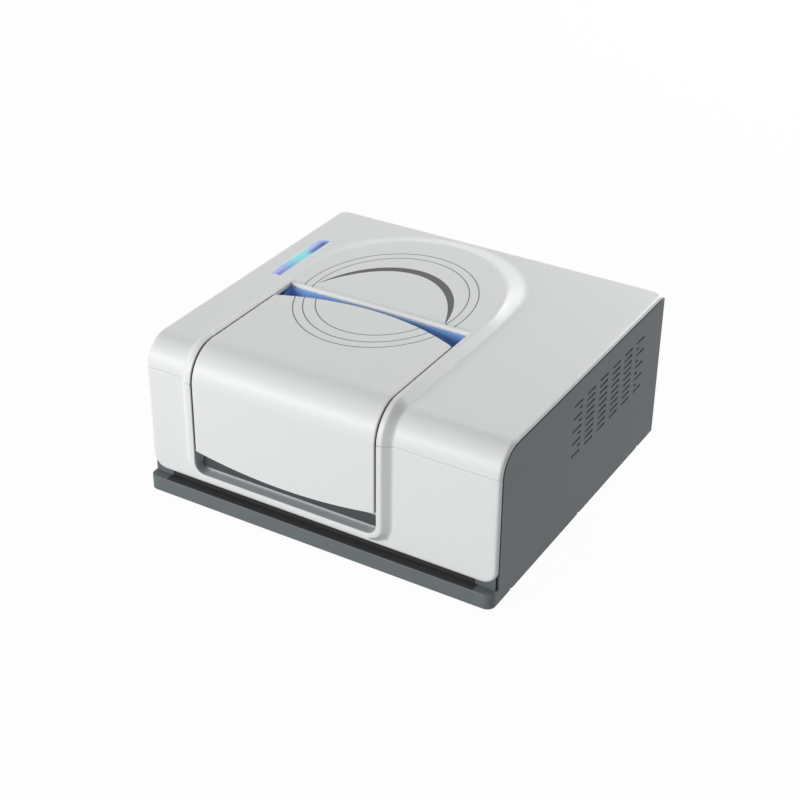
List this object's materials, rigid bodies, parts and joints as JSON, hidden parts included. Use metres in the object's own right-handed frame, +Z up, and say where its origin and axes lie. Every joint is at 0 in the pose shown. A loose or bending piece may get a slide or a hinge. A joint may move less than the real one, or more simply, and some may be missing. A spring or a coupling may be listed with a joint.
{
  "type": "infrared spectrometer",
  "caption": "Benchtop infrared spectrometer: grey steel tray and side panels, white moulded cover with a raised collar, a hinged sample lid over its bend, and an optics bench inside.",
  "frame": {"origin": "centre of the footprint on the surface it stands on", "axes": "+X to the right of the operator, +Y to the rear, +Z up"},
  "size_m": [0.45, 0.422, 0.2045],
  "materials": {
    "white_shell": "satin",
    "grey_steel": "fine matte texture",
    "grey_plastic": "matte",
    "blue_plastic": "satin",
    "dark_inlay": "matte",
    "diffuser": "translucent, lit from below",
    "rubber": "matte",
    "steel": "brushed",
    "aluminium": "satin",
    "black_plastic": "matte",
    "clear_optic": "polished",
    "mirror": "polished",
    "circuit_board": "solder mask",
    "brass": "plain",
    "element": "rough"
  },
  "bodies": {
    "casing": {"base_chassis": "grey_steel", "top_cover": "white_shell", "front_panel": "white_shell", "finger_trough": "grey_plastic", "hinge_trough": "blue_plastic", "crescent_inlay": "dark_inlay", "light_bar_lens": "diffuser", "light_bar_board": "circuit_board", "rubber_feet": "rubber", "rear_panel": "grey_steel", "mains_inlet": "black_plastic", "inlet_blades": "brass", "switch_housing": "black_plastic", "usb_socket": "steel", "network_socket": "steel", "fan_frame": "black_plastic", "fan_guard": "steel", "chamber_gasket": "rubber", "hinge_brackets": "aluminium", "hinge_pins": "steel", "sample_chamber": "aluminium", "chamber_windows": "clear_optic", "window_rings": "aluminium", "sample_stand": "aluminium", "optics_bench": "aluminium", "bench_isolators": "rubber", "source_housing": "aluminium", "source_heat_sink": "aluminium", "source_element": "element", "collimating_mirror": "mirror", "collimating_mount": "aluminium", "beamsplitter": "clear_optic", "beamsplitter_mount": "aluminium", "fixed_mirror": "mirror", "fixed_mirror_mount": "aluminium", "turning_mirror": "mirror", "turning_mount": "aluminium", "focusing_mirror": "mirror", "focusing_mount": "aluminium", "mirror_rail": "aluminium", "guide_rods": "steel", "voice_coil_magnet": "steel", "reference_laser": "aluminium", "laser_clamps": "aluminium", "detector_module": "aluminium", "desiccant_cartridge": "black_plastic", "main_board": "circuit_board", "board_posts": "aluminium", "power_supply": "aluminium"},
    "lid": {"lid_shell": "white_shell", "lid_liner": "grey_plastic", "hinge_arms": "aluminium"},
    "holder": {"sample_holder": "steel"},
    "carriage": {"mirror_carriage": "aluminium", "moving_mirror": "mirror"},
    "rocker": {"switch_rocker": "black_plastic"},
    "rotor": {"fan_rotor": "black_plastic"}
  },
  "joints": [
    {"name": "lid_hinge", "type": "hinge", "parent": "casing", "child": "lid", "pos_m": [-0.038, -0.04, 0.19], "axis": [-1, 0, 0], "range_deg": [0, 75]},
    {"name": "holder_lift", "type": "slide", "parent": "casing", "child": "holder", "axis": [0, 0, 1], "range_m": [0, 0.04]},
    {"name": "mirror_scan", "type": "slide", "parent": "casing", "child": "carriage", "axis": [1, 0, 0], "range_m": [-0.006, 0.006]},
    {"name": "switch_rock", "type": "hinge", "parent": "casing", "child": "rocker", "pos_m": [-0.148, 0.206, 0.104], "axis": [-1, 0, 0], "range_deg": [0, 20]},
    {"name": "fan_spin", "type": "hinge", "parent": "casing", "child": "rotor", "pos_m": [0.15, 0.19, 0.096], "axis": [0, 1, 0], "continuous": true}
  ]
}
